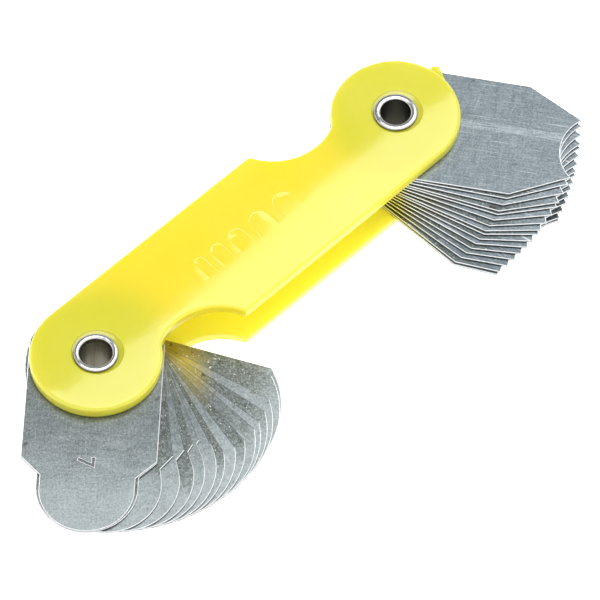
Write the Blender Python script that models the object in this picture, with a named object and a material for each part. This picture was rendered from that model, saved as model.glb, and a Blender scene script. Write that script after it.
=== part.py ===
"""Radius gauge set: two riveted covers with a fan of convex and a fan of concave leaves.

The case lies flat, its long axis along X. The origin is the centre of the rear cover's outer face,
and +Z points out through the front cover. All driving sizes below are in millimetres.
"""

from math import asin, atan2, cos, degrees, hypot, radians, sin, sqrt, tan

import bmesh
import bpy

MM = 0.001

# Case
PIVOT_SPACING = 62.0
COVER_RADIUS = 9.85
COVER_THICKNESS = 2.1
COVER_EDGE_ROUND = 0.5
NOTCH_RADIUS = 9.2
NOTCH_CENTRE = (-18.3, -13.3)
NOTCH_BLEND = 2.5
NOTCH_CORNER_ROUND = 0.6
GATE_EDGE = ((-4.0, 9.9), (4.0, 10.6), (10.5, 11.25), (13.0, 10.9), (14.5, 9.9))
GATE_HEIGHT = 0.9

# Eyelets
BARREL_RADIUS = 2.6
BARREL_BORE = 2.3
FLANGE_RADIUS = 3.35
FLANGE_THICKNESS = 0.5
FLANGE_STANDS_PROUD = 0.2
RECESS_RADIUS = 3.8
COVER_HOLE_RADIUS = 2.7
SEAT_GAP = 0.03

# Leaves, numbered from the front cover down
LEAF_COUNT = 16
LEAF_PITCH = 0.375
LEAF_THICKNESS = 0.28
LEAF_HALF_WIDTH = 10.0
LEAF_HOLE_RADIUS = 2.72
SMALLEST_RADIUS = 7.0
RADIUS_STEP = 0.5
SLOT_HEIGHT = 6.0

CONVEX_TAIL_RADIUS = 10.5
CONVEX_SHOULDER_START = 17.05
CONVEX_REACH = 29.3
CONVEX_REACH_LOSS = 0.085

CONCAVE_TAIL_RADIUS = 10.0
CONCAVE_REACH = 27.7
CONCAVE_HORN_HALF_GAP = 5.3
CONCAVE_HORN_STEP = 0.1
CONCAVE_CHAMFER_DEG = 28.5

# How far each leaf is swung out of the case, in degrees, from the front leaf to the rear one
CONVEX_SWING = (136.8, 136.8, 129.0, 122.8, 117.8, 114.0, 109.4, 106.0,
                100.8, 95.8, 89.4, 85.8, 80.4, 74.8, 65.2, 61.5)
CONCAVE_SWING = (125.2, 123.4, 120.4, 117.4, 116.2, 113.6, 110.8, 108.4,
                 107.2, 104.8, 102.6, 100.2, 97.8, 95.2, 92.6, 91.8)

ARC_STEP_DEG = 12.0

CASE_HEIGHT = 2 * COVER_THICKNESS + SLOT_HEIGHT
RECESS_DEPTH_FRONT = FLANGE_THICKNESS + SEAT_GAP - FLANGE_STANDS_PROUD
RECESS_DEPTH_REAR = FLANGE_THICKNESS + 2 * SEAT_GAP


def clear_scene():
    for existing in list(bpy.data.objects):
        bpy.data.objects.remove(existing, do_unlink=True)


def make_material(name, colour, roughness, metallic):
    material = bpy.data.materials.new(name)
    material.use_nodes = True
    shader = material.node_tree.nodes["Principled BSDF"]
    shader.inputs["Base Color"].default_value = (*colour, 1.0)
    shader.inputs["Roughness"].default_value = roughness
    shader.inputs["Metallic"].default_value = metallic
    material.diffuse_color = (*colour, 1.0)
    return material


def arc_points(centre, radius, start_deg, end_deg, step_deg=ARC_STEP_DEG):
    """Points along an arc, both ends included; it runs clockwise when end_deg is the smaller."""
    steps = max(1, round(abs(end_deg - start_deg) / step_deg))
    points = []
    for index in range(steps + 1):
        angle = radians(start_deg + (end_deg - start_deg) * index / steps)
        points.append((centre[0] + radius * cos(angle), centre[1] + radius * sin(angle)))
    return points


def bearing(origin, target):
    return degrees(atan2(target[1] - origin[1], target[0] - origin[0]))


def circle_meeting(first_centre, first_radius, second_centre, second_radius):
    """The meeting point of two circles that lies to the left of the line between their centres."""
    across = (second_centre[0] - first_centre[0], second_centre[1] - first_centre[1])
    distance = hypot(*across)
    along = (first_radius**2 - second_radius**2 + distance**2) / (2 * distance)
    height = sqrt(first_radius**2 - along**2)
    unit = (across[0] / distance, across[1] / distance)
    return (first_centre[0] + along * unit[0] - height * unit[1],
            first_centre[1] + along * unit[1] + height * unit[0])


def half_cover_outline():
    """Half of the cover's outline: round one end, through its finger notch, along one edge."""
    pivot = (-PIVOT_SPACING / 2, 0.0)
    blend = circle_meeting(pivot, COVER_RADIUS + NOTCH_BLEND, NOTCH_CENTRE, NOTCH_RADIUS - NOTCH_BLEND)
    corner_rise = -COVER_RADIUS + NOTCH_CORNER_ROUND - NOTCH_CENTRE[1]
    corner_run = sqrt((NOTCH_RADIUS + NOTCH_CORNER_ROUND) ** 2 - corner_rise**2)
    corner = (NOTCH_CENTRE[0] + corner_run, NOTCH_CENTRE[1] + corner_rise)

    end_stop = bearing(pivot, blend) + 360
    blend_start = end_stop - 180
    blend_stop = bearing(NOTCH_CENTRE, blend)
    notch_stop = bearing(NOTCH_CENTRE, corner)
    points = arc_points(pivot, COVER_RADIUS, 90, end_stop)
    points += arc_points(blend, NOTCH_BLEND, blend_start, blend_stop)[1:]
    points += arc_points(NOTCH_CENTRE, NOTCH_RADIUS, blend_stop, notch_stop)[1:]
    points += arc_points(corner, NOTCH_CORNER_ROUND, notch_stop - 180, -90, 36)[1:]
    return points


def cover_outline():
    half = half_cover_outline()
    return half + [(-x, -y) for x, y in half]


def circle_outline(radius, sides, centre=(0.0, 0.0)):
    turn = 360 / sides
    return arc_points(centre, radius, 0, 360 - turn, turn)


def add_loop(mesh, points, height):
    vertices = [mesh.verts.new((x * MM, y * MM, height * MM)) for x, y in points]
    return [mesh.edges.new((vertices[i - 1], vertices[i])) for i in range(len(vertices))]


def prism(outlines, low, high):
    """A flat plate between two heights: the first outline is its rim and any others are holes."""
    mesh = bmesh.new()
    edges = [edge for outline in outlines for edge in add_loop(mesh, outline, low)]
    bmesh.ops.triangle_fill(mesh, edges=edges, use_beauty=True)
    swept = bmesh.ops.extrude_face_region(mesh, geom=mesh.faces[:])["geom"]
    raised = [item for item in swept if isinstance(item, bmesh.types.BMVert)]
    bmesh.ops.translate(mesh, verts=raised, vec=(0, 0, (high - low) * MM))
    bmesh.ops.recalc_face_normals(mesh, faces=mesh.faces)
    return mesh


def lathe(profile, sides):
    """Turns a closed (radius, height) profile about Z."""
    mesh = bmesh.new()
    vertices = [mesh.verts.new((radius * MM, 0, height * MM)) for radius, height in profile]
    ring = [mesh.edges.new((vertices[i - 1], vertices[i])) for i in range(len(vertices))]
    bmesh.ops.spin(mesh, geom=vertices + ring, axis=(0, 0, 1), cent=(0, 0, 0),
                   angle=radians(360), steps=sides, use_merge=True)
    bmesh.ops.remove_doubles(mesh, verts=mesh.verts, dist=1e-7)
    bmesh.ops.recalc_face_normals(mesh, faces=mesh.faces)
    return mesh


def add_object(name, mesh, material, location=(0, 0, 0), turn_deg=0.0):
    data = bpy.data.meshes.new(name)
    mesh.to_mesh(data)
    mesh.free()
    data.shade_smooth()
    data.set_sharp_from_angle(angle=radians(30))
    data.materials.append(material)
    placed = bpy.data.objects.new(name, data)
    placed.location = [value * MM for value in location]
    placed.rotation_euler.z = radians(turn_deg)
    bpy.context.collection.objects.link(placed)
    return placed


def add_cutter(name, mesh, location):
    cutter = add_object(name, mesh, bpy.data.materials["steel"], location)
    cutter.hide_render = True
    cutter.display_type = "WIRE"
    return cutter


def add_boolean(target, tool, operation):
    modifier = target.modifiers.new(f"{operation.lower()}_{tool.name}", "BOOLEAN")
    modifier.operation = operation
    modifier.solver = "EXACT"
    modifier.object = tool


def round_outer_edge(mesh, height):
    rim = [edge for edge in mesh.edges
           if all(abs(vertex.co.z - height * MM) < 1e-6 for vertex in edge.verts)
           and edge.calc_face_angle(0.0) > radians(45)]
    bmesh.ops.bevel(mesh, geom=rim, offset=COVER_EDGE_ROUND * MM, offset_type="OFFSET",
                    segments=2, profile=0.5, affect="EDGES")


def gate_mesh(low, high):
    """The stub that the moulding gate leaves on the end of the front cover, as (angle, radius) points."""
    outline = [(radius * cos(radians(angle)), radius * sin(radians(angle))) for angle, radius in GATE_EDGE]
    outline += arc_points((0, 0), COVER_RADIUS - 1.0, GATE_EDGE[-1][0], GATE_EDGE[0][0], 20)
    return prism([outline], low, high)


def seat_cutter_mesh(recess_depth, outer_height, inward):
    """A cover's rivet hole and the round recess that its flange sits in."""
    floor = outer_height + inward * recess_depth
    beyond = outer_height - inward
    through = outer_height + inward * (COVER_THICKNESS + 1)
    profile = [(0, beyond), (RECESS_RADIUS, beyond), (RECESS_RADIUS, floor),
               (COVER_HOLE_RADIUS, floor), (COVER_HOLE_RADIUS, through), (0, through)]
    return lathe(profile, 32)


def add_cover(name, material, outer_height, inward, recess_depth):
    inner_height = outer_height + inward * COVER_THICKNESS
    mesh = prism([cover_outline()], min(outer_height, inner_height), max(outer_height, inner_height))
    round_outer_edge(mesh, outer_height)
    cover = add_object(name, mesh, material)
    for side in (-1, 1):
        cutter = add_cutter(f"{name}_seat_{'left' if side < 0 else 'right'}",
                            seat_cutter_mesh(recess_depth, outer_height, inward),
                            (side * PIVOT_SPACING / 2, 0, 0))
        add_boolean(cover, cutter, "DIFFERENCE")
    return cover


def add_eyelet(name, material, x):
    """A hollow rivet: a rolled flange in front and a rolled-over end sunk in the rear cover."""
    top = CASE_HEIGHT + FLANGE_STANDS_PROUD
    under_top = top - FLANGE_THICKNESS
    bottom = SEAT_GAP
    over_bottom = bottom + FLANGE_THICKNESS
    lip = FLANGE_THICKNESS / 2
    crest = (BARREL_BORE + FLANGE_RADIUS) / 2
    profile = [
        (BARREL_BORE, bottom + 2 * lip), (BARREL_BORE + 0.15, bottom + lip), (crest, bottom),
        (FLANGE_RADIUS - 0.15, bottom + 0.12), (FLANGE_RADIUS, bottom + lip),
        (FLANGE_RADIUS - 0.1, over_bottom), (BARREL_RADIUS, over_bottom),
        (BARREL_RADIUS, under_top), (FLANGE_RADIUS - 0.1, under_top),
        (FLANGE_RADIUS, top - lip), (FLANGE_RADIUS - 0.15, top - 0.12), (crest, top),
        (BARREL_BORE + 0.15, top - lip), (BARREL_BORE, top - 2 * lip),
    ]
    return add_object(name, lathe(profile, 24), material, (x, 0, 0))


def tail_points(tail_radius):
    """The round end behind the pivot, from the upper side over to the lower one."""
    spread = degrees(asin(LEAF_HALF_WIDTH / tail_radius))
    return arc_points((0, 0), tail_radius, 180 - spread, 180 + spread, 15)


def convex_outline(radius, reach):
    """A leaf whose end is a half disc, or as much of one as the leaf is wide."""
    centre = reach - radius
    points = tail_points(CONVEX_TAIL_RADIUS)
    if radius < LEAF_HALF_WIDTH:
        shoulder_end = CONVEX_SHOULDER_START + LEAF_HALF_WIDTH - radius
        points += [(CONVEX_SHOULDER_START, -LEAF_HALF_WIDTH), (shoulder_end, -radius)]
        spread = 90.0
    else:
        spread = degrees(asin(LEAF_HALF_WIDTH / radius))
    points += arc_points((centre, 0), radius, -spread, spread)
    if radius < LEAF_HALF_WIDTH:
        points += [(shoulder_end, radius), (CONVEX_SHOULDER_START, LEAF_HALF_WIDTH)]
    return points


def concave_outline(radius):
    """A leaf whose end is hollowed to the radius between two chamfered horns."""
    half_gap = CONCAVE_HORN_HALF_GAP + CONCAVE_HORN_STEP * (radius - SMALLEST_RADIUS) / RADIUS_STEP
    chamfer_run = (LEAF_HALF_WIDTH - half_gap) / tan(radians(CONCAVE_CHAMFER_DEG))
    chamfer_start = CONCAVE_REACH - chamfer_run
    centre = CONCAVE_REACH + sqrt(radius**2 - half_gap**2)
    spread = degrees(asin(half_gap / radius))
    points = tail_points(CONCAVE_TAIL_RADIUS)
    points.append((chamfer_start, -LEAF_HALF_WIDTH))
    points += arc_points((centre, 0), radius, 180 + spread, 180 - spread)
    points.append((chamfer_start, LEAF_HALF_WIDTH))
    return points


def leaf_top(index):
    play = SLOT_HEIGHT - (LEAF_COUNT - 1) * LEAF_PITCH - LEAF_THICKNESS
    return CASE_HEIGHT - COVER_THICKNESS - play / 2 - index * LEAF_PITCH


def add_leaf(kind, index, outline, material, pivot_x, turn_deg):
    radius = SMALLEST_RADIUS + RADIUS_STEP * index
    name = f"{kind}_leaf_{radius:04.1f}".replace(".", "_")
    hole = circle_outline(LEAF_HOLE_RADIUS, 20)
    mesh = prism([outline, hole], -LEAF_THICKNESS, 0)
    return add_object(name, mesh, material, (pivot_x, 0, leaf_top(index)), turn_deg)


def add_leaves(material):
    for index in range(LEAF_COUNT):
        radius = SMALLEST_RADIUS + RADIUS_STEP * index
        reach = CONVEX_REACH - CONVEX_REACH_LOSS * index
        add_leaf("convex", index, convex_outline(radius, reach), material,
                 -PIVOT_SPACING / 2, -CONVEX_SWING[index])
        add_leaf("concave", index, concave_outline(radius), material,
                 PIVOT_SPACING / 2, 180 + CONCAVE_SWING[index])


def main():
    clear_scene()
    plastic = make_material("yellow_plastic", (0.93, 0.83, 0.06), 0.25, 0.0)
    plating = make_material("nickel_plate", (0.75, 0.74, 0.72), 0.2, 1.0)
    steel = make_material("steel", (0.47, 0.50, 0.52), 0.4, 1.0)

    front = add_cover("front_cover", plastic, CASE_HEIGHT, -1, RECESS_DEPTH_FRONT)
    add_cover("rear_cover", plastic, 0.0, 1, RECESS_DEPTH_REAR)
    gate_low = CASE_HEIGHT - COVER_THICKNESS / 2 - GATE_HEIGHT / 2
    gate = add_cutter("gate", gate_mesh(gate_low, gate_low + GATE_HEIGHT), (PIVOT_SPACING / 2, 0, 0))
    add_boolean(front, gate, "UNION")

    add_eyelet("left_eyelet", plating, -PIVOT_SPACING / 2)
    add_eyelet("right_eyelet", plating, PIVOT_SPACING / 2)
    add_leaves(steel)


main()
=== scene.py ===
from math import asin, atan2, copysign, cos, degrees, hypot, pi, radians, sin, sqrt, tan

import bmesh
import bpy
from mathutils import Matrix, Vector, noise


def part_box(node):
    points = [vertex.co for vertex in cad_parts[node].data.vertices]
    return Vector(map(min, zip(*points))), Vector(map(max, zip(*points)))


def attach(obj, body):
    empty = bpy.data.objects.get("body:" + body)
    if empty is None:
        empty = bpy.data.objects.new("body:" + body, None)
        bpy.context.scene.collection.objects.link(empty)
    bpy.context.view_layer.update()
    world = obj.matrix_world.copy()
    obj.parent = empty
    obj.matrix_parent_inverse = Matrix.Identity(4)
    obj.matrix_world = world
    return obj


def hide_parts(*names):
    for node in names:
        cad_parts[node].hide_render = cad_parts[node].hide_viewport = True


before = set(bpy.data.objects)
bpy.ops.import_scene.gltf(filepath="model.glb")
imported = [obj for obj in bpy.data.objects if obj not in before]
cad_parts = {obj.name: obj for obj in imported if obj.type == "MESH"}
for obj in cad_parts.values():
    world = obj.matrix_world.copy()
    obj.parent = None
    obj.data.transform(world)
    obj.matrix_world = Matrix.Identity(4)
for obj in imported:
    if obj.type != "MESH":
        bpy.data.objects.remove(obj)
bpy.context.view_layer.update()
mm = 0.001

# Places that the frame gives, in millimetres
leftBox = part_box("left_eyelet")
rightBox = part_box("right_eyelet")
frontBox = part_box("front_cover")
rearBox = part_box("rear_cover")
pivotX = (rightBox[0].x + rightBox[1].x) / 2 / mm
caseTop = frontBox[1].z / mm
slotTop = frontBox[0].z / mm
slotFloor = rearBox[1].z / mm
print("frame loaded, case", round(caseTop, 2), "mm thick")


class Signal:
    # a shader socket that Python arithmetic joins up with Math nodes
    def __init__(self, paint, socket):
        self.paint = paint
        self.socket = socket

    def join(self, operation, first, second):
        return self.paint.node("Math", {"operation": operation}, {0: first, 1: second})

    def __add__(self, other):
        return self.join("ADD", self, other)

    def __sub__(self, other):
        return self.join("SUBTRACT", self, other)

    def __rsub__(self, other):
        return self.join("SUBTRACT", other, self)

    def __mul__(self, other):
        return self.join("MULTIPLY", self, other)

    def __truediv__(self, other):
        return self.join("DIVIDE", self, other)

    __radd__ = __add__
    __rmul__ = __mul__


class Paint:
    # a material, with one method for every node in it
    def __init__(self, name, **fixed):
        self.material = bpy.data.materials.new(name)
        self.material.use_nodes = True
        self.tree = self.material.node_tree
        self.shader = self.tree.nodes["Principled BSDF"]
        for socket, value in fixed.items():
            self.shader.inputs[socket.replace("_", " ")].default_value = value

    def node(self, kind, settings, inputs, output=0):
        made = self.tree.nodes.new("ShaderNode" + kind)
        for name, value in settings.items():
            setattr(made, name, value)
        for name, value in inputs.items():
            self.feed(made.inputs[name], value)
        return Signal(self, made.outputs[output])

    def feed(self, socket, value):
        if isinstance(value, Signal):
            self.tree.links.new(value.socket, socket)
        elif socket.type == "RGBA":
            socket.default_value = (*value, 1.0)
        else:
            socket.default_value = value

    def shade(self, **varying):
        for socket, value in varying.items():
            self.feed(self.shader.inputs[socket.replace("_", " ")], value)

    def objectPlace(self):
        return self.node("TexCoord", {}, {}, "Object")

    def marked(self, name, output="Vector"):
        return self.node("Attribute", {"attribute_name": name}, {}, output)

    def stretch(self, place, scale, move=(0, 0, 0), turn=(0, 0, 0)):
        return self.node("Mapping", {}, {"Vector": place, "Scale": scale,
                                         "Location": move, "Rotation": turn})

    def cloud(self, place, scale, detail=3.0, rough=0.55, twist=0.0):
        return self.node("TexNoise", {}, {"Vector": place, "Scale": scale, "Detail": detail,
                                          "Roughness": rough, "Distortion": twist})

    def ramp(self, signal, low, high, fromValue=0.0, toValue=1.0):
        return self.node("MapRange", {"interpolation_type": "SMOOTHSTEP"},
                         {"Value": signal, "From Min": low, "From Max": high,
                          "To Min": fromValue, "To Max": toValue})

    def mix(self, share, first, second, way="MIX"):
        return self.node("Mix", {"data_type": "RGBA", "blend_type": way},
                         {0: share, 6: first, 7: second}, 2)

    def split(self, place, axis):
        return self.node("SeparateXYZ", {}, {0: place}, axis)

    def magnitude(self, signal):
        return self.node("Math", {"operation": "ABSOLUTE"}, {0: signal})

    def fromPivot(self, place):
        # millimetres from the axis of the nearer rivet
        aside = self.magnitude(self.split(place, "X") / mm) - pivotX
        y = self.split(place, "Y") / mm
        return self.node("Math", {"operation": "SQRT"}, {0: aside * aside + y * y})

    def bump(self, height, strength, distance):
        return self.node("Bump", {}, {"Height": height, "Strength": strength, "Distance": distance})


def lineTo(mesh, tip, x, y):
    grown = mesh.verts.new((x, y, tip.co.z))
    mesh.edges.new((tip, grown))
    return grown


def arcTo(mesh, tip, centre, turn, step=3.0):
    # carries the outline on round a centre, counter-clockwise for a positive turn in degrees
    steps = max(1, round(abs(turn) / step))
    swept = bmesh.ops.spin(mesh, geom=[tip], cent=(*centre, tip.co.z), axis=(0, 0, 1),
                           angle=radians(turn), steps=steps)
    return swept["geom_last"][0]


def closeOutline(mesh, tip, start):
    if (tip.co - start.co).length < 1e-4:
        bmesh.ops.pointmerge(mesh, verts=[tip, start], merge_co=start.co)
    else:
        mesh.edges.new((tip, start))


def polar(centre, radius, angle):
    return (centre[0] + radius * cos(radians(angle)), centre[1] + radius * sin(radians(angle)))


def bearing(origin, target):
    return degrees(atan2(target[1] - origin[1], target[0] - origin[0]))


def circleMeeting(first, firstRadius, second, secondRadius):
    # where two circles meet, on the left of the line between their centres
    across = (second[0] - first[0], second[1] - first[1])
    distance = hypot(*across)
    along = (firstRadius**2 - secondRadius**2 + distance**2) / (2 * distance)
    height = sqrt(firstRadius**2 - along**2)
    unit = (across[0] / distance, across[1] / distance)
    return (first[0] + along * unit[0] - height * unit[1],
            first[1] + along * unit[1] + height * unit[0])


def thicken(mesh, height):
    swept = bmesh.ops.extrude_face_region(mesh, geom=mesh.faces[:])["geom"]
    raised = [item for item in swept if isinstance(item, bmesh.types.BMVert)]
    bmesh.ops.translate(mesh, verts=raised, vec=(0, 0, height))
    bmesh.ops.recalc_face_normals(mesh, faces=mesh.faces)


def roundRim(mesh, height, width, segments, sharper=45):
    rim = [edge for edge in mesh.edges
           if all(abs(vertex.co.z - height) < 1e-4 for vertex in edge.verts)
           and edge.calc_face_angle(0.0) > radians(sharper)]
    bmesh.ops.bevel(mesh, geom=rim, affect="EDGES", offset=width, offset_type="OFFSET",
                    segments=segments, profile=0.5, material=-1, clamp_overlap=True)


def lathe(mesh, profile, centre=(0, 0), steps=96):
    # turns a closed (radius, height) profile
    points = [mesh.verts.new((centre[0] + radius, centre[1], height)) for radius, height in profile]
    ring = [mesh.edges.new((points[i - 1], points[i])) for i in range(len(points))]
    bmesh.ops.spin(mesh, geom=points + ring, axis=(0, 0, 1), cent=(*centre, 0),
                   angle=radians(360), steps=steps, use_merge=True)
    bmesh.ops.remove_doubles(mesh, verts=mesh.verts, dist=1e-5)
    bmesh.ops.recalc_face_normals(mesh, faces=mesh.faces)


def smoothWithEdges(data, sharp):
    data.shade_smooth()
    data.set_sharp_from_angle(angle=radians(sharp))


def makeObject(name, mesh, materials, sharp=30):
    bmesh.ops.scale(mesh, verts=mesh.verts, vec=(mm, mm, mm))
    data = bpy.data.meshes.new(name)
    mesh.to_mesh(data)
    mesh.free()
    for material in materials:
        data.materials.append(material)
    smoothWithEdges(data, sharp)
    made = bpy.data.objects.new(name, data)
    bpy.context.scene.collection.objects.link(made)
    return made


def cut(target, tools, sharp=30, operation="DIFFERENCE", crossing=False):
    # takes the tools away from the target, or joins them to it, for good;
    # crossing is for a tool whose own surface crosses itself
    for tool in tools:
        modifier = target.modifiers.new("cut", "BOOLEAN")
        modifier.operation = operation
        modifier.solver = "EXACT"
        modifier.use_self = crossing
        modifier.object = tool
    whole = target.evaluated_get(bpy.context.evaluated_depsgraph_get())
    cutMesh = bpy.data.meshes.new_from_object(whole)
    smoothWithEdges(cutMesh, sharp)
    target.modifiers.clear()
    old = target.data
    target.data = cutMesh
    bpy.data.meshes.remove(old)
    for tool in tools:
        bpy.data.objects.remove(tool)


def mount(piece, body, slot, *nodes):
    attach(piece, body)
    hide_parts(*nodes)


plasticLook = {
    "colour": (0.93, 0.735, 0.03),
    "leafShade": (0.72, 0.675, 0.035),   # painted shade where the dark leaves lie right behind the plastic
    "scuff": (0.95, 0.87, 0.30),
    # painted light: the inner faces' yellow is lighter than the outer faces', for the glow of light
    # through the plastic
    "inside": (0.96, 0.88, 0.075),
    "gloss": 0.06,
    "glow": (1.0, 0.75, 0.12),        # how far each colour runs inside, against glowReach in metres
    "glowReach": 0.003,
    "leafShadeFade": (17, 7.5),          # millimetres from a rivet where the painted shade of the leaves starts and ends
}


def paintPlastic():
    look = plasticLook
    paint = Paint("yellowPlastic", IOR=1.72, Subsurface_Weight=0.6,
                  Subsurface_Radius=look["glow"], Subsurface_Scale=look["glowReach"])
    place = paint.objectPlace()
    # painted shade: the yellow darkens near each rivet, where the dark leaves lie behind the
    # plastic
    leafShade = paint.ramp(paint.fromPivot(place), *look["leafShadeFade"])
    drift = paint.cloud(place, 60, 2)
    body = paint.mix(leafShade, look["colour"], look["leafShade"])
    body = paint.mix(paint.ramp(drift, 0.35, 0.75) * 0.12, body, look["scuff"])
    rubbed = paint.cloud(paint.stretch(place, (1, 9, 1), turn=(0, 0, 0.7)), 320, 4, 0.7)
    scuffs = paint.ramp(rubbed, 0.62, 0.74)
    paint.shade(Base_Color=paint.mix(scuffs * 0.10, body, look["scuff"]),
                Roughness=look["gloss"] + scuffs * 0.12 + paint.cloud(place, 900, 2) * 0.05,
                Normal=paint.bump(paint.cloud(place, 260, 3), 0.06, 0.0002))
    return paint.material


steelLook = {
    "convex": {
        "dark": (0.135, 0.155, 0.157),
        "light": (0.40, 0.44, 0.445),
        "grainTurn": pi / 2,
        "level": 0.17,         # how light the face is, and how much lighter it grows to its tip, as painted light: the face is shaded near the case
        "tipLightening": 0.51,
        "brush": 0.45,
        "scratches": 0.15,
        "roll": 0.0,           # strength of a painted highlight line along the leaf, which is also a little smoother there
        "stackShade": 0.0,           # painted shade: how much darker the leaves low in the stack are
        "coverReflection": (0.46, 0.36, 0.055),
        "coverReflectionFrom": 7,        # the first leaf down the stack with the painted reflection of the yellow cover
    },
    "concave": {
        "dark": (0.13, 0.158, 0.174),
        "light": (0.36, 0.405, 0.43),
        "grainTurn": 0.0,
        "level": 0.37,
        "tipLightening": 0.0,
        "brush": 1.5,
        "scratches": 0.5,
        "roll": 0.5,
        "stackShade": 0.3,
        "coverReflection": (0.13, 0.115, 0.045),
        "coverReflectionFrom": 1,
    },
    "grimeAndShade": (0.085, 0.097, 0.083),
    "fleck": (0.85, 0.88, 0.88),
    "stain": (0.07, 0.05, 0.035),
    "cutEdgeHighlight": (0.95, 0.96, 0.96),
    "nick": (0.5, 0.52, 0.52),
    "wall": (0.17, 0.18, 0.18),
    "wornWall": (0.36, 0.37, 0.37),
    "stampShade": (0.045, 0.05, 0.05),
    "stampGrit": (0.3, 0.32, 0.33),
    "bore": (0.19, 0.175, 0.125),
    "wornBore": (0.32, 0.30, 0.235),
    "rightBoreShade": (0.075, 0.075, 0.05),
}

seedSteps = (37.3, 19.7, 0.618)    # moves each leaf to its own part of every pattern


def paintSteel(kind, tone):
    # leafPlace is a leaf's own millimetres, X towards its gauge end; leafSeed sets the leaves
    # apart: its X counts down the stack and its Z is how dirty a leaf is
    look = steelLook
    paint = Paint(kind + "Steel", Metallic=1.0)
    spot = paint.marked("leafPlace")
    seed = paint.marked("leafSeed")
    order = paint.split(seed, "X") / seedSteps[0]
    dirt = paint.split(seed, "Z")
    place = paint.node("VectorMath", {"operation": "ADD"}, {0: spot, 1: seed})
    along = paint.split(spot, "X")
    across = paint.split(spot, "Y")
    grain = paint.stretch(place, (0.30, 4.4, 1.0), turn=(0, 0, tone["grainTurn"]))
    scored = paint.stretch(place, (0.10, 5.0, 1.0), turn=(0, 0, tone["grainTurn"] + 0.5))
    brushed = paint.cloud(grain, 1.0, 4, 0.75)
    ripple = paint.cloud(paint.stretch(place, (1.1, 0.28, 1.0)), 1.0, 4, 0.6, 0.6)
    speckle = paint.cloud(place, 3.0, 3, 0.85)
    fleck = paint.cloud(place, 3.6, 1, 0.5)
    blotch = paint.cloud(place, 0.20, 3, 0.6)
    scratch = paint.cloud(scored, 1.0, 1, 0.5)
    aside = paint.magnitude(across)
    ragged = (blotch - 0.5) * 9 + (speckle - 0.5) * 2
    soiled = paint.ramp(aside + ragged + dirt * 7, 9.5, 11.5) * paint.ramp(dirt, 0.30, 0.6)
    soiled = soiled * paint.ramp(along + ragged * 0.5, 27, 20)
    # painted highlight: a lighter, smoother line along the leaf, where a slight bend would mirror
    # the light
    sheenLine = across - 1.5
    roll = paint.ramp(sheenLine * sheenLine, 0.9, 0.1) * paint.ramp(brushed, 0.30, 0.6) * tone["roll"]

    # painted light and shade: lighter towards the tip, darker near the case
    level = paint.ramp(along, 9, 27) * tone["tipLightening"] + tone["level"]
    level = level + (speckle - 0.5) * 2.1 + (brushed - 0.5) * tone["brush"]
    level = level + (blotch - 0.5) * 0.4 + roll
    level = level + (ripple - 0.5) * paint.ramp(along, 25, 17) * 0.7
    # painted shade on the leaves low in the stack
    level = level - paint.ramp(order, 6, 14) * tone["stackShade"]
    colour = paint.mix(level, tone["dark"], tone["light"])
    colour = paint.mix(soiled * paint.ramp(speckle, 0.40, 0.60, 0.85, 0.25), colour, look["grimeAndShade"])
    # painted reflection: the yellow cover mirrored in leaves low in the stack near the pivot; the
    # concave leaves' darker tint is painted shade as well
    lowInStack = paint.ramp(order, tone["coverReflectionFrom"], tone["coverReflectionFrom"] + 6)
    reflectionNearPivot = paint.ramp(along + blotch * 4, 18, 11) * lowInStack
    colour = paint.mix(reflectionNearPivot * 0.8, colour, tone["coverReflection"])
    sparkle = paint.ramp(fleck, 0.68, 0.75) * (soiled * 0.7 + 0.22)
    sparkle = sparkle + paint.ramp(scratch, 0.70, 0.74) * tone["scratches"]
    colour = paint.mix(sparkle, colour, look["fleck"])
    stained = paint.cloud(place, 0.55, 5, 0.75) + paint.ramp(aside, 7.8, 9.6) * 0.10
    stains = paint.ramp(stained, 0.68, 0.76)
    colour = paint.mix(stains * 0.6, colour, look["stain"])
    paint.shade(Base_Color=colour,
                Roughness=0.36 + (speckle - 0.5) * 0.2 + soiled * 0.1 + stains * 0.2 - roll * 0.08,
                Normal=paint.bump(speckle * 0.6 + brushed * 0.6 + ripple * 1.2, 0.4, 0.00006))
    return paint.material


def paintCutEdge():
    # bright where the blanking tool sheared the strip; its near-white colour is also a painted
    # highlight on the leaves' edges
    paint = Paint("leafEdgeHighlight", Metallic=1.0)
    place = paint.marked("leafPlace")
    nicks = paint.cloud(paint.stretch(place, (1, 1, 8)), 2.2, 3, 0.6)
    nicked = paint.ramp(nicks, 0.50, 0.75)
    paint.shade(Base_Color=paint.mix(nicked, steelLook["cutEdgeHighlight"], steelLook["nick"]),
                Roughness=0.26 + nicks * 0.14)
    return paint.material


def paintWallShade():
    # the sheared walls, in painted shade between the leaves, with lighter worn patches
    paint = Paint("leafWallShade", Metallic=1.0)
    grit = paint.cloud(paint.stretch(paint.marked("leafPlace"), (1, 1, 5)), 2.5, 3, 0.65)
    worn = paint.ramp(grit, 0.4, 0.7)
    paint.shade(Base_Color=paint.mix(worn, steelLook["wall"], steelLook["wornWall"]),
                Roughness=0.38 + grit * 0.12)
    return paint.material


def paintStamp():
    # painted shade in the floor of the stamped numbers, with lighter grit
    paint = Paint("stampShade", Metallic=1.0)
    grit = paint.cloud(paint.marked("leafPlace"), 7.0, 2, 0.6)
    paint.shade(Base_Color=paint.mix(grit, steelLook["stampShade"], steelLook["stampGrit"]),
                Roughness=0.4 + grit * 0.15)
    return paint.material


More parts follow.
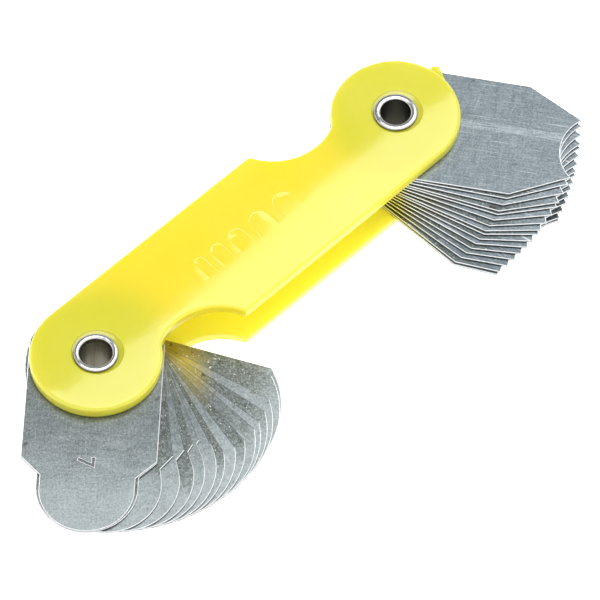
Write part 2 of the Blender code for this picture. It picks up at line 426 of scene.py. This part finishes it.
def paintInsidePlastic():
    # the faces against the leaves: as moulded, not polished, and marked by them; their lighter
    # yellow is painted glow of light through the plastic
    look = plasticLook
    paint = Paint("insidePlastic", IOR=1.49, Subsurface_Weight=0.65,
                  Subsurface_Radius=look["glow"], Subsurface_Scale=look["glowReach"])
    place = paint.objectPlace()
    rubbed = paint.ramp(paint.cloud(paint.stretch(place, (1, 5, 1)), 420, 4, 0.7), 0.55, 0.75)
    paint.shade(Base_Color=paint.mix(rubbed * 0.15, look["inside"], look["scuff"]),
                Roughness=0.42 + rubbed * 0.1,
                Normal=paint.bump(paint.cloud(place, 900, 3), 0.12, 0.0001))
    return paint.material


nickelLook = {
    "colour": (0.72, 0.71, 0.69),
    "tarnish": (0.34, 0.33, 0.30),
    # painted shade round the foot of the flange
    "grimeAndShade": (0.09, 0.085, 0.06),
    "flangeShadeRing": (3.19, 3.31),     # millimetres from the axis, where painted shade lies round the foot of the flange
}


def paintNickel():
    look = nickelLook
    paint = Paint("nickelPlate", Metallic=1.0)
    place = paint.objectPlace()
    tarnish = paint.ramp(paint.cloud(place, 900, 3, 0.65), 0.48, 0.74)
    rings = paint.cloud(paint.stretch(place, (1, 1, 30)), 500, 2)
    flangeShade = paint.ramp(paint.fromPivot(place), *look["flangeShadeRing"])
    body = paint.mix(tarnish * 0.7, look["colour"], look["tarnish"])
    paint.shade(Base_Color=paint.mix(flangeShade * 0.8, body, look["grimeAndShade"]),
                Roughness=0.10 + tarnish * 0.16,
                Normal=paint.bump(rings, 0.10, 0.00005))
    return paint.material


def paintBore():
    # painted shade: the bore is coloured darker for the shade inside the hole, the right one darker
    # still, with lighter worn streaks
    paint = Paint("eyeletBore", Metallic=1.0)
    place = paint.objectPlace()
    drawn = paint.cloud(paint.stretch(place, (1, 1, 0.10)), 1400, 3, 0.6)
    rightOne = paint.ramp(paint.split(place, "X") / mm, -5, 5)
    worn = paint.mix(paint.ramp(drawn, 0.3, 0.7), steelLook["bore"], steelLook["wornBore"])
    paint.shade(Base_Color=paint.mix(rightOne, worn, steelLook["rightBoreShade"]),
                Roughness=0.38 + drawn * 0.12)
    return paint.material


plastic = paintPlastic()
insidePlastic = paintInsidePlastic()
steels = {kind: paintSteel(kind, steelLook[kind]) for kind in ("convex", "concave")}
cutEdgeHighlight = paintCutEdge()
leafWallShade = paintWallShade()
stampShade = paintStamp()
nickel = paintNickel()
boreMetal = paintBore()
print("materials ready")


coverShape = {
    "radius": 9.85,
    "notchRadius": 9.2,
    "notchCentre": (-18.3, -13.3),
    "notchBlend": 2.5,
    "cornerRound": 0.6,
    "edgeRound": 0.55,
    "innerRound": 0.12,
    "crown": 0.25,         # how much lower the outer face is at its rim
    "dish": 0.40,          # how much thinner the cover is half way along
    "gridAlong": 2.0,
    "gridAcross": 1.4,
    "holeRadius": 2.7,
    "recessRadius": 3.85,
    "recessShift": 0.35,
    "recessDepth": 0.33,
}


def coverOutline(mesh):
    # half of it runs round the left end, through the finger notch and along one edge;
    # its twin is half a turn on
    shape = coverShape
    pivot = (-pivotX, 0.0)
    notch = shape["notchCentre"]
    blend = circleMeeting(pivot, shape["radius"] + shape["notchBlend"],
                          notch, shape["notchRadius"] - shape["notchBlend"])
    rise = shape["cornerRound"] - shape["radius"] - notch[1]
    run = sqrt((shape["notchRadius"] + shape["cornerRound"]) ** 2 - rise**2)
    corner = (notch[0] + run, notch[1] + rise)
    pivotToBlend = bearing(pivot, blend)
    notchToBlend = bearing(notch, blend)
    notchToCorner = bearing(notch, corner)

    start = mesh.verts.new((-pivotX, shape["radius"], 0))
    tip = arcTo(mesh, start, pivot, pivotToBlend + 270)
    tip = arcTo(mesh, tip, blend, notchToBlend - pivotToBlend - 180)
    tip = arcTo(mesh, tip, notch, notchToCorner - notchToBlend)
    tip = arcTo(mesh, tip, corner, 90 - notchToCorner, 12)
    twin = bmesh.ops.duplicate(mesh, geom=mesh.verts[:] + mesh.edges[:])
    turned = [item for item in twin["geom"] if isinstance(item, bmesh.types.BMVert)]
    bmesh.ops.rotate(mesh, verts=turned, matrix=Matrix.Rotation(pi, 3, "Z"))
    mesh.edges.new((tip, twin["vert_map"][start]))
    mesh.edges.new((twin["vert_map"][tip], start))


def outerDrop(x, y):
    # how far the outer face lies under its level at the rivets
    shape = coverShape
    aside = max(abs(x) - pivotX, 0.0)
    toRim = (aside**2 + y**2) / shape["radius"] ** 2
    return shape["crown"] * toRim + shape["dish"] * cos(pi / 2 * min(abs(x) / pivotX, 1.0)) ** 2


def gridCut(mesh, height, along, across):
    # cuts the flat face at a height into a grid, so that it can be curved
    cuts = [((x, 0, 0), (1, 0, 0)) for x in steps(-pivotX - coverShape["radius"], along)]
    cuts += [((0, y, 0), (0, 1, 0)) for y in steps(-coverShape["radius"], across)]
    for place, direction in cuts:
        flat = [face for face in mesh.faces
                if all(abs(vertex.co.z - height) < 1e-5 for vertex in face.verts)]
        around = list({item for face in flat for item in [*face.verts, *face.edges]})
        bmesh.ops.bisect_plane(mesh, geom=flat + around, plane_co=place,
                               plane_no=direction, dist=1e-4)


def steps(low, pitch):
    count = int(-2 * low / pitch)
    return [low + (index + 1) * (-2 * low) / (count + 1) for index in range(count)]


def coverPlate(thickness):
    # lies with its inner face at height 0 and its curved outer face up
    shape = coverShape
    mesh = bmesh.new()
    coverOutline(mesh)
    bmesh.ops.contextual_create(mesh, geom=mesh.edges[:])
    thicken(mesh, thickness)
    roundRim(mesh, thickness, shape["edgeRound"], 5)
    roundRim(mesh, 0, shape["innerRound"], 1)
    gridCut(mesh, thickness, shape["gridAlong"], shape["gridAcross"])
    for vertex in mesh.verts:
        vertex.co.z -= outerDrop(vertex.co.x, vertex.co.y) * vertex.co.z / thickness
    return mesh


def holeThrough(side):
    mesh = bmesh.new()
    bmesh.ops.create_cone(mesh, cap_ends=True, segments=64, radius1=coverShape["holeRadius"],
                          radius2=coverShape["holeRadius"], depth=9)
    bmesh.ops.translate(mesh, verts=mesh.verts, vec=(side * pivotX, 0, 0))
    return makeObject("holeCutter", mesh, [plastic])


def seatCutter(thickness, side):
    # the recess round a rivet, moulded a little to the right of it, with a softly rounded lip
    shape = coverShape
    floor = thickness - shape["recessDepth"]
    recess = shape["recessRadius"]
    mesh = bmesh.new()
    profile = [(0, floor), (recess - 0.25, floor), (recess - 0.08, floor + 0.06),
               (recess, floor + 0.18), (recess + 0.05, thickness - 0.10),
               (recess + 0.22, thickness + 0.04), (recess + 0.22, thickness + 1),
               (0, thickness + 1)]
    lathe(mesh, profile, (side * pivotX + shape["recessShift"], 0))
    return makeObject("seatCutter", mesh, [plastic])


markShape = {
    "radii": (0.9, 1.15, 1.4, 1.65, 1.9),   # a row of arches, from a small radius to a large one
    "gap": 1.3,
    "height": 3.9,
    "lineWidth": 0.36,
    "proud": 0.028,
    "sunk": 0.4,           # share of that height which the ridge also goes under the face
}


def archRidge(mesh, centreX, radius, surface):
    # a rounded ridge up one leg, over the arch and down the other leg
    shape = markShape
    low = -shape["height"] / 2
    spring = shape["height"] / 2 - radius
    ring = bmesh.ops.create_circle(mesh, segments=10, radius=shape["lineWidth"] / 2,
                                   cap_ends=True)["verts"]
    squash = 2 * shape["proud"] / shape["lineWidth"] * (1 + shape["sunk"])
    flat = Matrix.Scale(squash, 3, (0, 0, 1))
    stand = flat @ Matrix.Rotation(pi / 2, 3, "X")
    bmesh.ops.transform(mesh, verts=ring, matrix=stand.to_4x4())
    bmesh.ops.translate(mesh, verts=ring, vec=(centreX + radius, low, surface))
    made = set(ring)
    front = extrudeOn(mesh, ring, (0, spring - low, 0), made)
    edges = edgesWithin(mesh, front)
    swept = bmesh.ops.spin(mesh, geom=list(front) + edges, cent=(centreX, spring, surface),
                           axis=(0, 0, 1), angle=pi, steps=20)["geom_last"]
    front = {item for item in swept if isinstance(item, bmesh.types.BMVert)}
    front = extrudeOn(mesh, front, (0, low - spring, 0), made)
    bmesh.ops.contextual_create(mesh, geom=edgesWithin(mesh, front))


def edgesWithin(mesh, vertices):
    return [edge for edge in mesh.edges if all(vertex in vertices for vertex in edge.verts)]


def extrudeOn(mesh, ring, move, made):
    grown = bmesh.ops.extrude_edge_only(mesh, edges=edgesWithin(mesh, ring))["geom"]
    front = {item for item in grown if isinstance(item, bmesh.types.BMVert)}
    bmesh.ops.translate(mesh, verts=list(front), vec=move)
    made |= front
    return front


def makeMark(thickness):
    shape = markShape
    mesh = bmesh.new()
    total = 2 * sum(shape["radii"]) + shape["gap"] * (len(shape["radii"]) - 1)
    edge = -total / 2
    for radius in shape["radii"]:
        centreX = edge + radius
        level = thickness - outerDrop(centreX, 0) - shape["proud"] * shape["sunk"]
        archRidge(mesh, centreX, radius, level)
        edge += 2 * radius + shape["gap"]
    bmesh.ops.recalc_face_normals(mesh, faces=mesh.faces)
    return makeObject("mark", mesh, [plastic])


gateShape = {
    # degrees round the right rivet, and millimetres from it
    "edge": ((-4.0, 9.9), (2.0, 10.35), (7.0, 10.95), (10.5, 11.2), (13.0, 10.9), (14.5, 9.9)),
    "root": 0.6,           # how far the stub reaches into the cover
    "height": 0.8,
    "tear": 0.22,
    "tearScale": 2.7,
}


def makeGate(thickness):
    # the torn stub of the moulding gate, on the right end of the front cover
    shape = gateShape
    pivot = (pivotX, 0.0)
    edge = shape["edge"]
    inner = coverShape["radius"] - shape["root"]
    stub = bmesh.new()
    start = stub.verts.new((*polar(pivot, edge[0][1], edge[0][0]), 0))
    tip = start
    for angle, radius in edge[1:]:
        tip = lineTo(stub, tip, *polar(pivot, radius, angle))
    tip = lineTo(stub, tip, *polar(pivot, inner, edge[-1][0]))
    tip = arcTo(stub, tip, pivot, edge[0][0] - edge[-1][0], 4)
    closeOutline(stub, tip, start)
    bmesh.ops.contextual_create(stub, geom=stub.edges[:])
    thicken(stub, shape["height"])
    bmesh.ops.triangulate(stub, faces=stub.faces)
    bmesh.ops.subdivide_edges(stub, edges=stub.edges[:], cuts=3, use_grid_fill=True)
    for vertex in stub.verts:
        outward = hypot(vertex.co.x - pivotX, vertex.co.y) - coverShape["radius"]
        share = max(0.0, min(1.0, outward))
        vertex.co += noise.noise_vector(vertex.co * shape["tearScale"]) * shape["tear"] * share
        vertex.co.z += (shape["height"] * 0.6 - vertex.co.z) * 0.7 * share
    bmesh.ops.translate(stub, verts=stub.verts, vec=(0, 0, (thickness - shape["height"]) / 2))
    bmesh.ops.recalc_face_normals(stub, faces=stub.faces)
    return makeObject("gate", stub, [plastic])


def makeCover(name, thickness, innerHeight, outward, extras):
    mesh = coverPlate(thickness)
    bare = makeObject(name, mesh, [plastic])
    cut(bare, [cutter for side in (-1, 1)
               for cutter in (holeThrough(side), seatCutter(thickness, side))])
    cut(bare, [extra(thickness) for extra in extras], operation="UNION")
    mesh = bmesh.new()
    mesh.from_mesh(bare.data)
    bpy.data.objects.remove(bare)
    bmesh.ops.scale(mesh, verts=mesh.verts, vec=(1 / mm, 1 / mm, 1 / mm))
    bmesh.ops.scale(mesh, verts=mesh.verts, vec=(1, 1, outward))
    bmesh.ops.translate(mesh, verts=mesh.verts, vec=(0, 0, innerHeight))
    bmesh.ops.recalc_face_normals(mesh, faces=mesh.faces)
    for face in mesh.faces:
        centre = face.calc_center_median()
        face.material_index = 1 if abs(centre.z - innerHeight) < 0.01 else 0
    return makeObject(name, mesh, [plastic, insidePlastic], 26)


frontCover = makeCover("frontShell", caseTop - slotTop, slotTop, 1, [makeMark, makeGate])
rearCover = makeCover("rearShell", slotFloor, slotFloor, -1, [])
mount(frontCover, "case", "yellow_plastic", "front_cover")
mount(rearCover, "case", "yellow_plastic", "rear_cover")
print("covers made")


eyeletShape = {
    "bore": 2.3,
    "barrel": 2.6,
    "rollRise": 0.45,
    "square": 0.72,
    "flange": 0.5,
    "throat": 1.0,       # depth over which the mouth narrows to the bore
    "leftMouth": 2.44,
    "rightMouth": 2.26,
    "splitWidth": 0.09,
    "splits": 7,
    "firstSplit": 11,    # degrees, as is frontSplit
    "frontSplit": 165,
}


def eyeletProfile(low, high, flangeRadius, mouth):
    shape = eyeletShape
    profile = []
    for height, outward in ((low, -1), (high, 1)):
        middle = (mouth + flangeRadius) / 2
        reach = (flangeRadius - mouth) / 2
        level = height - outward * shape["rollRise"]
        throat = [(shape["bore"], height - outward * shape["throat"]),
                  (shape["bore"] + (mouth - shape["bore"]) * 0.35,
                   height - outward * shape["throat"] * 0.75)]
        roll = [(middle - reach * flattened(cos(radians(angle))),
                 level + outward * shape["rollRise"] * flattened(sin(radians(angle))))
                for angle in range(0, 181, 9)]
        under = [(flangeRadius - 0.06, height - outward * shape["flange"]),
                 (shape["barrel"], height - outward * shape["flange"])]
        section = throat + roll + under
        profile += section[::-1] if outward > 0 else section
    return profile


def flattened(value):
    # squares a round section off a little
    return copysign(abs(value) ** eyeletShape["square"], value)


def makeEyelet(name, box, side, mouth, splitAngle):
    shape = eyeletShape
    low, high = box[0].z / mm, box[1].z / mm
    flangeRadius = (box[1].x - box[0].x) / 2 / mm
    mesh = bmesh.new()
    lathe(mesh, eyeletProfile(low, high, flangeRadius, mouth), (side * pivotX, 0))
    for face in mesh.faces:
        centre = face.calc_center_median()
        inside = hypot(centre.x - side * pivotX, centre.y) < shape["bore"] + 0.02
        face.material_index = 1 if inside else 0
    made = makeObject(name, mesh, [nickel, boreMetal])
    splits = [(low, 360 / shape["splits"] * index + shape["firstSplit"])
              for index in range(shape["splits"])]
    if splitAngle is not None:
        splits.append((high, splitAngle))
    crest = (mouth + flangeRadius) / 2
    cut(made, [splitCutter(side, height, angle, crest) for height, angle in splits])
    return made


def splitCutter(side, height, angle, radius):
    # a thin wedge that opens the rolled edge from its crest outwards
    mesh = bmesh.new()
    bmesh.ops.create_cube(mesh, size=1)
    bmesh.ops.scale(mesh, verts=mesh.verts, vec=(1.0, eyeletShape["splitWidth"], 0.9))
    bmesh.ops.translate(mesh, verts=mesh.verts, vec=(radius + 0.45, 0, height))
    bmesh.ops.rotate(mesh, verts=mesh.verts, matrix=Matrix.Rotation(radians(angle), 3, "Z"))
    bmesh.ops.translate(mesh, verts=mesh.verts, vec=(side * pivotX, 0, 0))
    return makeObject("splitCutter", mesh, [nickel])


leftEyelet = makeEyelet("leftRivet", leftBox, -1, eyeletShape["leftMouth"], None)
rightEyelet = makeEyelet("rightRivet", rightBox, 1, eyeletShape["rightMouth"],
                         eyeletShape["frontSplit"])
mount(leftEyelet, "case", "nickel_plate", "left_eyelet")
mount(rightEyelet, "case", "nickel_plate", "right_eyelet")
print("eyelets made")


leafShape = {
    "halfWidth": 10.0,
    "holeRadius": 2.72,
    "convexTail": 10.5,
    "concaveTail": 10.0,
    "shoulder": 17.05,
    "convexReach": 29.3,
    "reachLoss": 0.085,
    "concaveReach": 27.7,
    "hornHalfGap": 5.3,
    "hornStep": 0.1,
    "chamferAngle": 28.5,
    "firstRadius": 7.0,
    "radiusStep": 0.5,
    "edgeBreak": 0.10,
    "burrBreak": 0.03,
    "stampDepth": {"convex": 0.16, "concave": 0.07},
    "lipHeight": 0.02,      # metal that the stamp pushed up round a number
    "lipWidth": 0.055,
    # a number's middle along and across the leaf, its height and its extra weight
    "convexStamp": (17.55, -0.5, 2.45, 0.06),
    "concaveStamp": (16.5, -0.45, 2.05, 0.0),
    "stampZone": (13, 20.5, 3),    # where its faces lie: from and to along the leaf, and across
    "figureHeight": 0.69,          # a figure's height for a text size of 1
    "sharp": 20,
}

# degrees that each leaf is turned out of the case, from the top of its stack down
swings = {
    "convex": (136.8, 136.8, 129.0, 122.8, 117.8, 114.0, 109.4, 106.0,
               100.8, 95.8, 89.4, 85.8, 80.4, 74.8, 65.2, 61.5),
    "concave": (125.2, 123.4, 120.4, 117.4, 116.2, 113.6, 110.8, 108.4,
                107.2, 104.8, 102.6, 100.2, 97.8, 95.2, 92.6, 91.8),
}


def tailArc(mesh, radius):
    spread = degrees(asin(leafShape["halfWidth"] / radius))
    start = mesh.verts.new((*polar((0, 0), radius, 180 - spread), 0))
    return start, arcTo(mesh, start, (0, 0), 2 * spread, 4)


def convexOutline(mesh, radius, index):
    shape = leafShape
    half = shape["halfWidth"]
    centre = (shape["convexReach"] - shape["reachLoss"] * index - radius, 0.0)
    start, tip = tailArc(mesh, shape["convexTail"])
    if radius < half:
        shoulderEnd = shape["shoulder"] + half - radius
        tip = lineTo(mesh, tip, shape["shoulder"], -half)
        tip = lineTo(mesh, tip, shoulderEnd, -radius)
        spread = 90.0
    else:
        spread = degrees(asin(half / radius))
    tip = lineTo(mesh, tip, *polar(centre, radius, -spread))
    tip = arcTo(mesh, tip, centre, 2 * spread, 2.5)
    if radius < half:
        tip = lineTo(mesh, tip, shoulderEnd, radius)
        tip = lineTo(mesh, tip, shape["shoulder"], half)
    closeOutline(mesh, tip, start)


def concaveOutline(mesh, radius, index):
    shape = leafShape
    half = shape["halfWidth"]
    halfGap = shape["hornHalfGap"] + shape["hornStep"] * index
    chamferStart = shape["concaveReach"] - (half - halfGap) / tan(radians(shape["chamferAngle"]))
    centre = (shape["concaveReach"] + sqrt(radius**2 - halfGap**2), 0.0)
    spread = degrees(asin(halfGap / radius))
    start, tip = tailArc(mesh, shape["concaveTail"])
    tip = lineTo(mesh, tip, chamferStart, -half)
    tip = lineTo(mesh, tip, *polar(centre, radius, 180 + spread))
    tip = arcTo(mesh, tip, centre, -2 * spread, 2.5)
    tip = lineTo(mesh, tip, chamferStart, half)
    closeOutline(mesh, tip, start)


def leafPlate(outline, radius, index, thickness):
    mesh = bmesh.new()
    outline(mesh, radius, index)
    bmesh.ops.contextual_create(mesh, geom=mesh.edges[:])
    bmesh.ops.recalc_face_normals(mesh, faces=mesh.faces)
    thicken(mesh, -thickness)
    roundRim(mesh, 0, leafShape["edgeBreak"], 1, 60)
    roundRim(mesh, -thickness, leafShape["burrBreak"], 1, 60)
    return mesh


def holeCutter():
    mesh = bmesh.new()
    bmesh.ops.create_cone(mesh, cap_ends=True, segments=48, radius1=leafShape["holeRadius"],
                          radius2=leafShape["holeRadius"], depth=4)
    return makeObject("holeCutter", mesh, [leafWallShade])


def stampTool(number, depth, along, across, height, bold):
    # a leaf's radius in millimetres, read from the pivot outwards
    text = bpy.data.curves.new("stamp", "FONT")
    text.body = f"{number:g}"
    text.size = height / leafShape["figureHeight"]
    text.align_x = "CENTER"
    text.align_y = "CENTER"
    text.extrude = depth
    text.offset = bold
    text.resolution_u = 3
    holder = bpy.data.objects.new("stamp", text)
    bpy.context.scene.collection.objects.link(holder)
    whole = holder.evaluated_get(bpy.context.evaluated_depsgraph_get())
    data = bpy.data.meshes.new_from_object(whole)
    bpy.data.objects.remove(holder)
    mesh = bmesh.new()
    mesh.from_mesh(data)
    bpy.data.meshes.remove(data)
    bmesh.ops.remove_doubles(mesh, verts=mesh.verts, dist=1e-5)
    bmesh.ops.recalc_face_normals(mesh, faces=mesh.faces)
    bmesh.ops.translate(mesh, verts=mesh.verts, vec=(along, across, 0))
    return makeObject("stampTool", mesh, [stampShade])


def markLeaf(made, seed, convex):
    # stores each point's place on the leaf, and sorts its faces: 0 rolled face, 1 bright edge,
    # stamp wall or raised lip, all with a painted highlight, 2 painted shade in a convex leaf's
    # stamp, 3 sheared wall or the long side of a convex leaf, both in painted shade
    data = made.data
    place = data.attributes.new("leafPlace", "FLOAT_VECTOR", "POINT")
    start = data.attributes.new("leafSeed", "FLOAT_VECTOR", "POINT")
    for vertex, spot, offset in zip(data.vertices, place.data, start.data):
        spot.vector = vertex.co / mm
        offset.vector = (seedSteps[0] * seed, seedSteps[1] * seed, seed * seedSteps[2] % 1)
    zoneStart, zoneEnd, zoneAside = leafShape["stampZone"]
    for face in data.polygons:
        along, aside = face.center.x / mm, abs(face.center.y / mm)
        depth = -face.center.z / mm
        upright = abs(face.normal.z)
        inStamp = zoneStart < along < zoneEnd and aside < zoneAside and 0.001 < depth < 0.2
        # painted shade on the long sides of the convex leaves under the top one
        shadedSide = (convex and seed > 1 and along < leafShape["shoulder"] + 0.1
                    and abs(face.normal.y) > 0.6)
        if upright > 0.9:
            face.material_index = 2 if inStamp and convex else 1 if depth < -0.001 else 0
        else:
            face.material_index = 1 if inStamp or upright > 0.3 and not shadedSide else 3


def makeLeaf(kind, index):
    shape = leafShape
    radius = shape["firstRadius"] + shape["radiusStep"] * index
    label = f"{radius:04.1f}".replace(".", "_")
    node = f"{kind}_leaf_{label}"
    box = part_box(node)
    thickness = (box[1].z - box[0].z) / mm
    convex = kind == "convex"
    mesh = leafPlate(convexOutline if convex else concaveOutline, radius, index, thickness)
    made = makeObject(f"{kind}Gauge{label}", mesh,
                      [steels[kind], cutEdgeHighlight, stampShade, leafWallShade], shape["sharp"])
    *place, bold = shape[kind + "Stamp"]
    if convex:
        lip = stampTool(radius, shape["lipHeight"], *place, bold + shape["lipWidth"])
        cut(made, [lip], shape["sharp"], "UNION", crossing=True)
    number = stampTool(radius, shape["stampDepth"][kind], *place, bold)
    cut(made, [holeCutter(), number], shape["sharp"], crossing=True)
    markLeaf(made, index + (0.5 if convex else 0), convex)
    pivot = -pivotX if convex else pivotX
    turn = -swings[kind][index] if convex else 180 + swings[kind][index]
    lift = Matrix.Translation((pivot * mm, 0, box[1].z))
    made.data.transform(lift @ Matrix.Rotation(radians(turn), 4, "Z"))
    mount(made, f"{kind}_{label}", "steel", node)


for kind in swings:
    for index in range(len(swings[kind])):
        makeLeaf(kind, index)
    print(kind, "leaves made")


studio = {
    "turn": -44.76,          # the view's right hand, measured from +X
    "elevation": 57.03,
    "roll": -0.70,
    "aim": (30.06, 7.768, 990.9),
    "lens": 403.95,
    "floor": (0.93, 0.93, 0.92),
    "around": (0.97, 0.985, 1.0),
    "card": (0.25, 0.26, 0.27),
    "cardEdge": (0.55, 0.93),    # where white starts to turn grey and where it is all grey
    "worldStrength": 1.1,
    "floorRadius": 4.0,
    "softbox": {"height": 700, "past": 12, "width": 0.8, "depth": 0.5, "power": 3.2,
                "away": (0.704, -0.710, 0), "side": (0.710, 0.704, 0), "over": (22, 22, 0)},
}


def toCase(x, y, z):
    # a point given rightwards, away and up from the left rivet, as seen in the view
    turned = Matrix.Rotation(radians(studio["turn"]), 3, "Z") @ Vector((x, y, z))
    return (turned + Vector((-pivotX, 0, caseTop))) * mm


def addCamera():
    up = radians(studio["elevation"])
    axes = Matrix(((1, 0, 0), (0, sin(up), cos(up)), (0, -cos(up), sin(up))))
    axes = Matrix.Rotation(radians(studio["roll"]), 3, "Z") @ axes
    place = axes.transposed() @ Vector(studio["aim"])
    data = bpy.data.cameras.new("camera")
    data.sensor_width = 36
    data.lens = studio["lens"]
    data.clip_start = 0.05
    data.clip_end = 30
    camera = bpy.data.objects.new("camera", data)
    facing = Matrix.Rotation(radians(studio["turn"]), 3, "Z") @ axes.transposed()
    camera.matrix_world = Matrix.Translation(toCase(*place)) @ facing.to_4x4()
    bpy.context.scene.collection.objects.link(camera)
    bpy.context.scene.camera = camera


def addFloor():
    mesh = bmesh.new()
    bmesh.ops.create_circle(mesh, segments=64, radius=studio["floorRadius"], cap_ends=True)
    data = bpy.data.meshes.new("floor")
    mesh.to_mesh(data)
    mesh.free()
    paint = Paint("floorPaper", Base_Color=(*studio["floor"], 1), Roughness=0.9,
                  Emission_Color=(1, 1, 1, 1), Emission_Strength=0.85)
    data.materials.append(paint.material)
    floor = bpy.data.objects.new("floor", data)
    bpy.context.scene.collection.objects.link(floor)


def addSoftbox(name, place, facing, side, width, depth, power):
    # facing is the way its light goes and side the way its width runs, both as seen in the view
    data = bpy.data.lights.new(name, "AREA")
    data.shape = "RECTANGLE"
    data.size = width
    data.size_y = depth
    data.energy = power
    lamp = bpy.data.objects.new(name, data)
    turn = Matrix.Rotation(radians(studio["turn"]), 3, "Z")
    back = (turn @ -Vector(facing)).normalized()
    across = (turn @ Vector(side)).normalized()
    upward = back.cross(across).normalized()
    across = upward.cross(back)
    axes = Matrix((across, upward, back)).transposed()
    lamp.matrix_world = Matrix.Translation(toCase(*place)) @ axes.to_4x4()
    bpy.context.scene.collection.objects.link(lamp)


def addWorld():
    # white all round, and grey where the flat faces mirror it
    world = bpy.data.worlds.new("studio")
    world.use_nodes = True
    tree = world.node_tree
    sky = tree.nodes["Background"]
    place = tree.nodes.new("ShaderNodeTexCoord")
    facing = tree.nodes.new("ShaderNodeVectorMath")
    ramp = tree.nodes.new("ShaderNodeValToRGB")
    facing.operation = "DOT_PRODUCT"
    turn = Matrix.Rotation(radians(studio["turn"]), 3, "Z")
    facing.inputs[1].default_value = turn @ mirroredWay()
    tree.links.new(place.outputs["Generated"], facing.inputs[0])
    tree.links.new(facing.outputs["Value"], ramp.inputs[0])
    tree.links.new(ramp.outputs["Color"], sky.inputs["Color"])
    colours = (studio["around"], studio["card"])
    for stop, position, colour in zip(ramp.color_ramp.elements, studio["cardEdge"], colours):
        stop.position = position
        stop.color = (*colour, 1)
    sky.inputs["Strength"].default_value = studio["worldStrength"]
    bpy.context.scene.world = world


def mirroredWay():
    up = radians(studio["elevation"])
    return Vector((0, cos(up), sin(up)))


def addOverhead():
    # one long edge of it lies just beside the way that the flat faces mirror,
    # so that its glow ends on the cover
    box = studio["softbox"]
    mirrored = Vector(box["over"]) + mirroredWay() * box["height"] / mirroredWay().z
    place = mirrored + Vector(box["away"]) * (box["past"] + box["depth"] / 2 / mm)
    addSoftbox("overhead", place, (0, 0, -1), box["side"], box["width"], box["depth"],
               box["power"])


addCamera()
addFloor()
addWorld()
addOverhead()
bpy.context.scene.view_settings.view_transform = "Standard"
print("studio ready")
